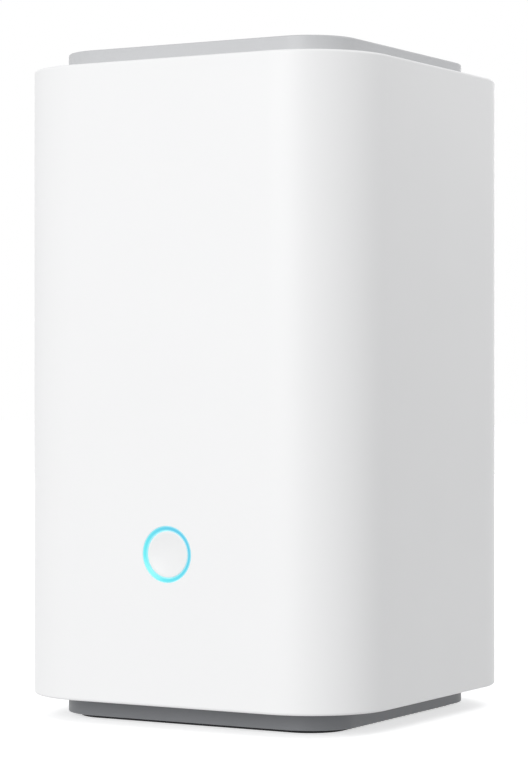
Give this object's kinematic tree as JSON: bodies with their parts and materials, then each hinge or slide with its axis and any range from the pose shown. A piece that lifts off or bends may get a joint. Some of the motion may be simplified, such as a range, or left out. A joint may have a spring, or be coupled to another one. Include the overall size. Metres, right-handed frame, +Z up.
{
  "type": "security camera base station",
  "caption": "Upright square hub with rounded corners, an inset grey cap and dark base, a lit ring round a dished front button, and sockets and sound holes at the back.",
  "frame": {"origin": "on the floor, at the middle of the underside of the foot", "axes": "+Z up, -Y the front with the button, +Y the back with the sockets, +X to the right when looking at the front"},
  "size_m": [0.095, 0.095, 0.162],
  "materials": {
    "white_shell": "satin moulded plastic, very fine grain",
    "grey_cap": "satin light grey moulded plastic",
    "dark_base": "satin dark grey moulded plastic",
    "black_rubber": "matt",
    "lit_ring": "clear light pipe, lit pale blue",
    "white_button": "satin",
    "panel_grey": "fine texture",
    "frame_plastic": "matt",
    "steel": "zinc plated",
    "shield_steel": "tin plated sheet",
    "gold": "gold plated",
    "board_green": "solder mask",
    "board_white": "solder mask",
    "chip_black": "moulded epoxy",
    "connector_white": "nylon",
    "connector_black": "semi-gloss nylon",
    "lamp_clear": "clear lamp lens",
    "led_white": "lamp body",
    "foam_black": "closed-cell foam",
    "pad_grey": "soft heat pad",
    "aluminium": "extruded, clear anodised",
    "coil_grey": "ferrite",
    "capacitor_sleeve": "aluminium can",
    "copper": "enamelled copper",
    "paper_cone": "pressed paper",
    "cloth_mesh": "woven acoustic cloth",
    "magnet_nickel": "nickel plated",
    "wire_black": "insulated lead",
    "ribbon_film": "polyimide film"
  },
  "bodies": {
    "case": {"outer_sleeve": "white_shell", "top_cap": "grey_cap", "base_tray": "dark_base", "rubber_foot": "black_rubber", "cap_screws": "steel", "base_screws": "steel", "light_ring": "lit_ring", "light_gasket": "foam_black", "front_board": "board_white", "ring_leds": "led_white", "front_switch": "connector_black", "front_board_screws": "steel", "front_connector": "connector_white", "ribbon_cable": "ribbon_film", "ribbon_socket": "connector_white", "inner_frame": "frame_plastic", "main_board": "board_green", "main_board_screws": "steel", "processor": "chip_black", "thermal_pad": "pad_grey", "memory_chips": "chip_black", "heatsink": "aluminium", "heatsink_pins": "connector_black", "radio_shield": "shield_steel", "lan_transformer": "chip_black", "capacitors": "capacitor_sleeve", "power_coils": "coil_grey", "lan_shield": "shield_steel", "lan_jack": "connector_black", "lan_contacts": "gold", "lan_lamps": "lamp_clear", "power_jack": "connector_black", "power_pin": "steel", "card_socket_lower": "shield_steel", "card_socket_upper": "shield_steel", "reset_switch": "connector_black", "port_panel": "panel_grey", "speaker_basket": "frame_plastic", "speaker_yoke": "steel", "speaker_magnet": "magnet_nickel", "speaker_surround": "black_rubber", "speaker_gasket": "foam_black", "speaker_mesh": "cloth_mesh", "speaker_screws": "steel", "speaker_leads": "wire_black", "wire_socket": "connector_white", "antenna_left": "board_green", "antenna_right": "board_green", "antenna_lead_left": "wire_black", "antenna_lead_right": "wire_black", "coax_plugs": "gold"},
    "front_button": {"button_cap": "white_button", "front_switch_plunger": "connector_white"},
    "reset_button": {"reset_plunger": "connector_white"},
    "card": {"memory_card": "connector_black"},
    "speaker_cone": {"speaker_cone": "paper_cone", "voice_coil": "copper"}
  },
  "joints": [
    {"name": "front_button_press", "type": "slide", "parent": "case", "child": "front_button", "axis": [0, 1, 0], "range_m": [0, 0.0008], "stiffness_N_per_m": 500, "springref_m": -0.001},
    {"name": "reset_press", "type": "slide", "parent": "case", "child": "reset_button", "axis": [0, -1, 0], "range_m": [0, 0.0003], "stiffness_N_per_m": 1500, "springref_m": -0.0005},
    {"name": "memory_card_slide", "type": "slide", "parent": "case", "child": "card", "axis": [0, 1, 0], "range_m": [-0.0006, 0.017]},
    {"name": "speaker_cone_travel", "type": "slide", "parent": "case", "child": "speaker_cone", "axis": [0, 1, 0], "range_m": [-0.0005, 0.0005], "stiffness_N_per_m": 1500, "deforming": ["speaker_surround"]}
  ]
}
